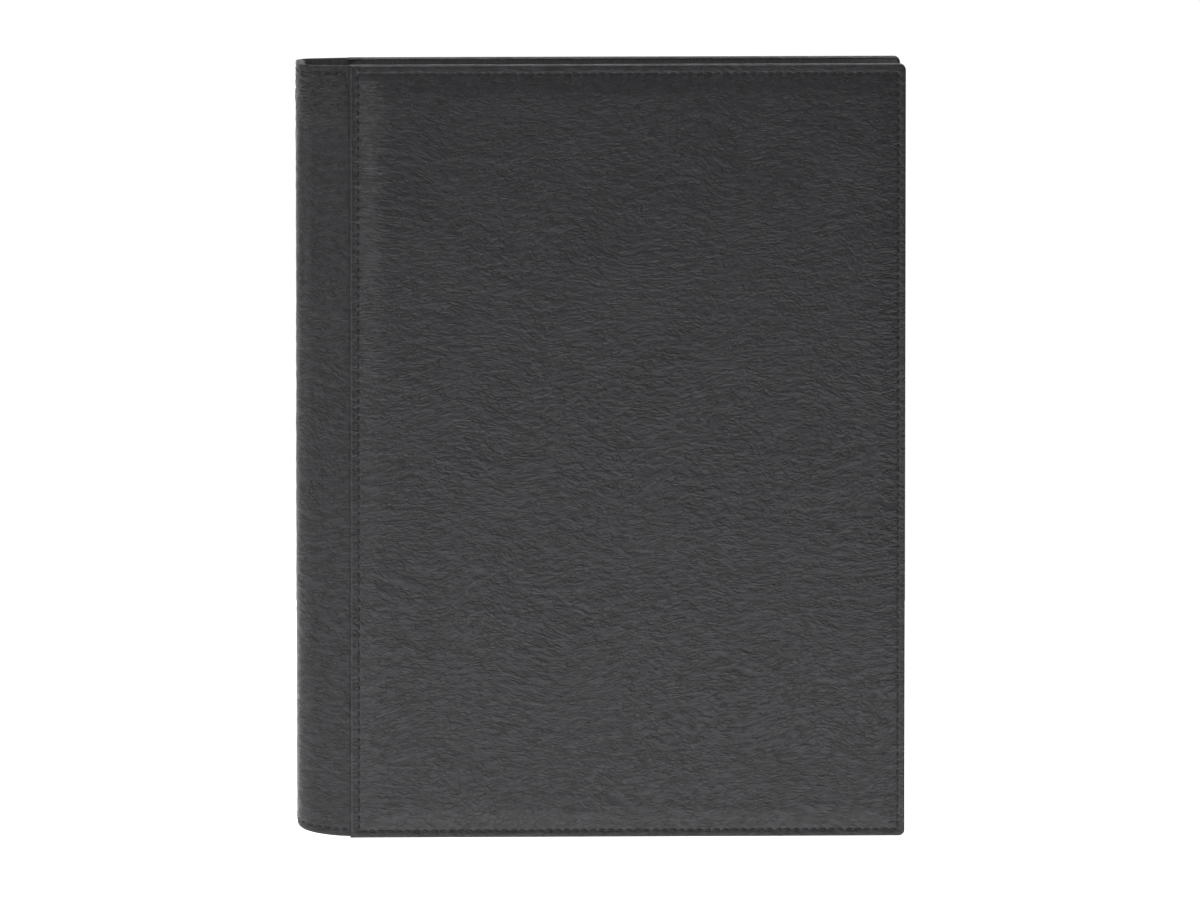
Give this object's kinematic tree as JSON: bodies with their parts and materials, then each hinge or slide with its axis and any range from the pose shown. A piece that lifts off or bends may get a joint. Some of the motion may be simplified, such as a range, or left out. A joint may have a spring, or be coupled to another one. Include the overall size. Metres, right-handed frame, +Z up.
{
  "type": "portfolio case",
  "caption": "Closed leather presentation portfolio with padded stitched covers, a wrap-round spine, a ring mechanism and clear display sleeves inside.",
  "frame": {"origin": "centre of the bottom of the closed case as it stands upright", "axes": "+X to the fore edge, spine at -X; the front cover faces -Y; +Z up"},
  "size_m": [0.249, 0.038, 0.318],
  "materials": {
    "leather": "soft grained black leather, satin",
    "pocket_leather": "thin smooth black leather",
    "lining": "black woven lining",
    "thread": "black waxed thread",
    "board": "grey bookbinding board",
    "foam": "thin charcoal foam",
    "plated_steel": "nickel-plated steel",
    "clear_film": "clear polypropylene film",
    "black_card": "matt black card"
  },
  "bodies": {
    "spine": {"spine_leather": "leather", "spine_lining": "lining", "spine_stiffener": "board", "spine_stitching": "thread", "ring_housing": "plated_steel", "lever_pins": "plated_steel", "mounting_rivets": "plated_steel"},
    "lever_top": {"trigger_lever_top": "plated_steel"},
    "lever_bottom": {"trigger_lever_bottom": "plated_steel"},
    "front_cover": {"front_facing_leather": "leather", "front_hinge_strip": "leather", "front_stitching": "thread", "front_foam_pad": "foam", "front_board": "board", "front_lining": "lining", "front_document_pocket": "pocket_leather"},
    "front_leaves": {"sleeves_front": "clear_film", "inserts_front": "black_card"},
    "front_rings": {"ring_rail_front": "plated_steel", "ring_halves_front": "plated_steel"},
    "rear_cover": {"rear_facing_leather": "leather", "rear_hinge_strip": "leather", "rear_stitching": "thread", "rear_foam_pad": "foam", "rear_board": "board", "rear_lining": "lining", "rear_document_pocket": "pocket_leather"},
    "rear_leaves": {"sleeves_rear": "clear_film", "inserts_rear": "black_card"},
    "rear_rings": {"ring_rail_rear": "plated_steel", "ring_halves_rear": "plated_steel"}
  },
  "joints": [
    {"name": "front_cover_hinge", "type": "hinge", "parent": "spine", "child": "front_cover", "pos_m": [-0.1155, -0.0156, 0.159], "axis": [0, 0, -1], "range_deg": [0, 100]},
    {"name": "rear_cover_hinge", "type": "hinge", "parent": "spine", "child": "rear_cover", "pos_m": [-0.1155, 0.0156, 0.159], "axis": [0, 0, 1], "range_deg": [0, 100]},
    {"name": "front_leaves_turn", "type": "hinge", "parent": "spine", "child": "front_leaves", "pos_m": [-0.109, 0, 0.159], "axis": [0, 0, -1], "range_deg": [0, 90]},
    {"name": "rear_leaves_turn", "type": "hinge", "parent": "spine", "child": "rear_leaves", "pos_m": [-0.109, 0, 0.159], "axis": [0, 0, 1], "range_deg": [0, 90]},
    {"name": "front_rings_open", "type": "hinge", "parent": "spine", "child": "front_rings", "pos_m": [-0.1192, -0.0085, 0.159], "axis": [0, 0, -1], "range_deg": [0, 8]},
    {"name": "rear_rings_open", "type": "hinge", "parent": "spine", "child": "rear_rings", "pos_m": [-0.1192, 0.0085, 0.159], "axis": [0, 0, 1], "range_deg": [0, 8]},
    {"name": "lever_top_press", "type": "hinge", "parent": "spine", "child": "lever_top", "pos_m": [-0.119, 0, 0.3005], "axis": [0, -1, 0], "range_deg": [0, 16]},
    {"name": "lever_bottom_press", "type": "hinge", "parent": "spine", "child": "lever_bottom", "pos_m": [-0.119, 0, 0.0175], "axis": [0, 1, 0], "range_deg": [0, 16]}
  ],
  "couplings": [
    {"joint": "front_leaves_turn", "follows": "front_cover_hinge", "ratio": 0.9},
    {"joint": "rear_leaves_turn", "follows": "rear_cover_hinge", "ratio": 0.9},
    {"joint": "rear_rings_open", "follows": "front_rings_open", "ratio": 1},
    {"joint": "lever_top_press", "follows": "front_rings_open", "ratio": 2},
    {"joint": "lever_bottom_press", "follows": "front_rings_open", "ratio": 2}
  ]
}
